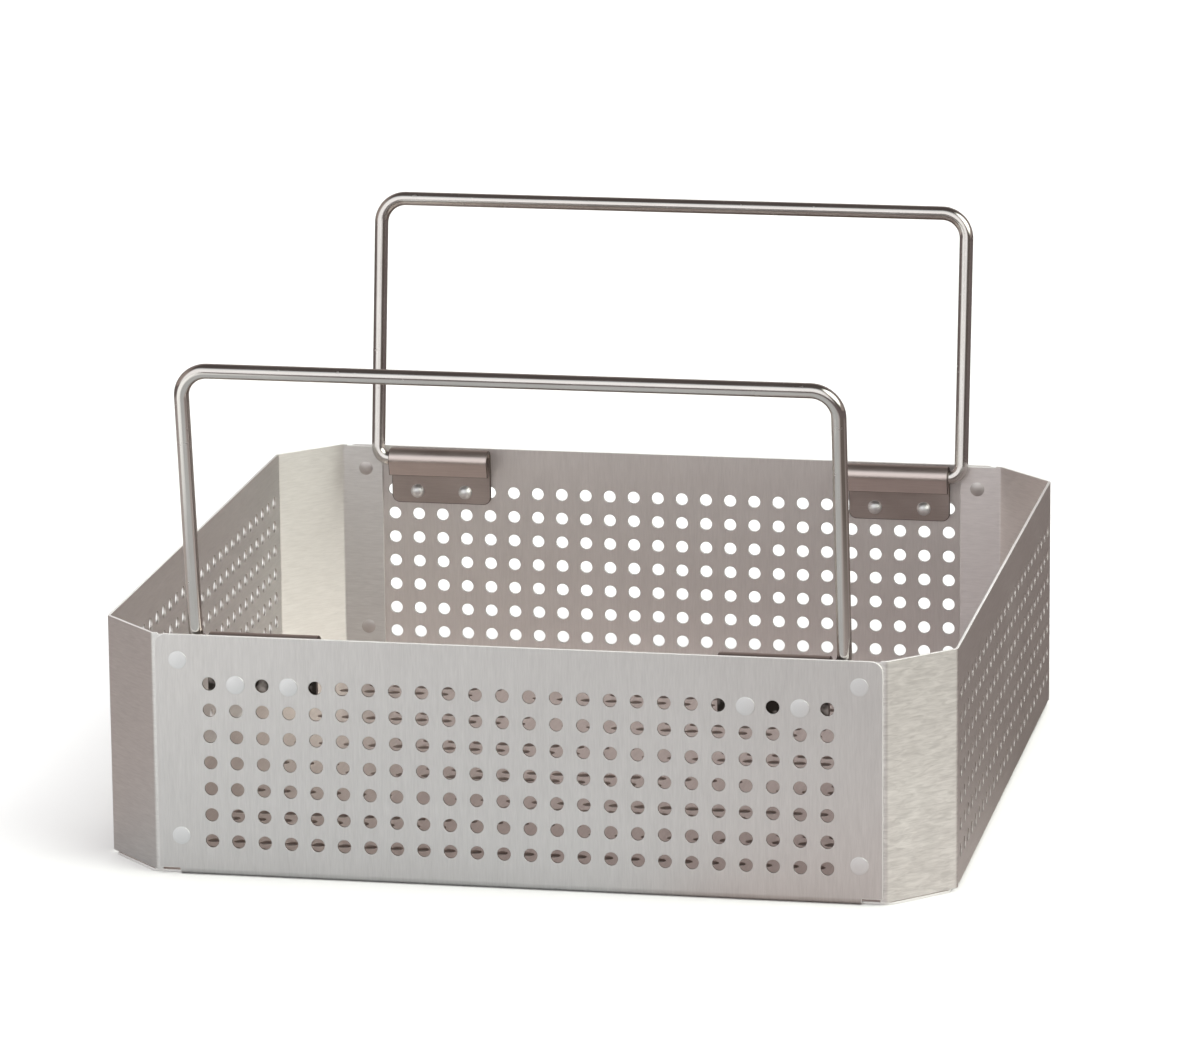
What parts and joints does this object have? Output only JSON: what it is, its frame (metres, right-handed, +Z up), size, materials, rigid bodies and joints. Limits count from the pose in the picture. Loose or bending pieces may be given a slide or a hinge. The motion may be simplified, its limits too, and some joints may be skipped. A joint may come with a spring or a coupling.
{
  "type": "instrument tray",
  "caption": "Half-size perforated steel instrument tray with cut corners and two folding wire handles hinged inside its end walls.",
  "frame": {"origin": "middle of the tray's underside, on the surface it stands on", "axes": "+Z up; +X along the end walls that carry the handles; -Y is the front end wall"},
  "size_m": [0.255, 0.2714, 0.1568],
  "materials": {
    "sheet": "satin brushed stainless sheet",
    "bracket": "plain bent stainless sheet",
    "wire": "drawn and polished stainless wire",
    "rivet": "pressed stainless rivet"
  },
  "bodies": {
    "tray": {"floor_panel": "sheet", "front_wall": "sheet", "back_wall": "sheet", "left_wall": "sheet", "right_wall": "sheet", "front_left_corner": "sheet", "front_right_corner": "sheet", "back_left_corner": "sheet", "back_right_corner": "sheet", "front_left_bracket": "bracket", "front_right_bracket": "bracket", "back_left_bracket": "bracket", "back_right_bracket": "bracket", "front_left_outer_rivet": "rivet", "front_left_inner_rivet": "rivet", "front_right_inner_rivet": "rivet", "front_right_outer_rivet": "rivet", "back_left_outer_rivet": "rivet", "back_left_inner_rivet": "rivet", "back_right_inner_rivet": "rivet", "back_right_outer_rivet": "rivet", "front_left_upper_corner_rivet": "rivet", "front_left_lower_corner_rivet": "rivet", "front_right_upper_corner_rivet": "rivet", "front_right_lower_corner_rivet": "rivet", "back_left_upper_corner_rivet": "rivet", "back_left_lower_corner_rivet": "rivet", "back_right_upper_corner_rivet": "rivet", "back_right_lower_corner_rivet": "rivet"},
    "front_handle": {"front_handle": "wire"},
    "back_handle": {"back_handle": "wire"}
  },
  "joints": [
    {"name": "front_handle_fold", "type": "hinge", "parent": "tray", "child": "front_handle", "pos_m": [0, -0.12162, 0.06992], "axis": [-1, 0, 0], "range_deg": [0, 149]},
    {"name": "back_handle_fold", "type": "hinge", "parent": "tray", "child": "back_handle", "pos_m": [0, 0.12162, 0.06992], "axis": [1, 0, 0], "range_deg": [0, 149]}
  ]
}
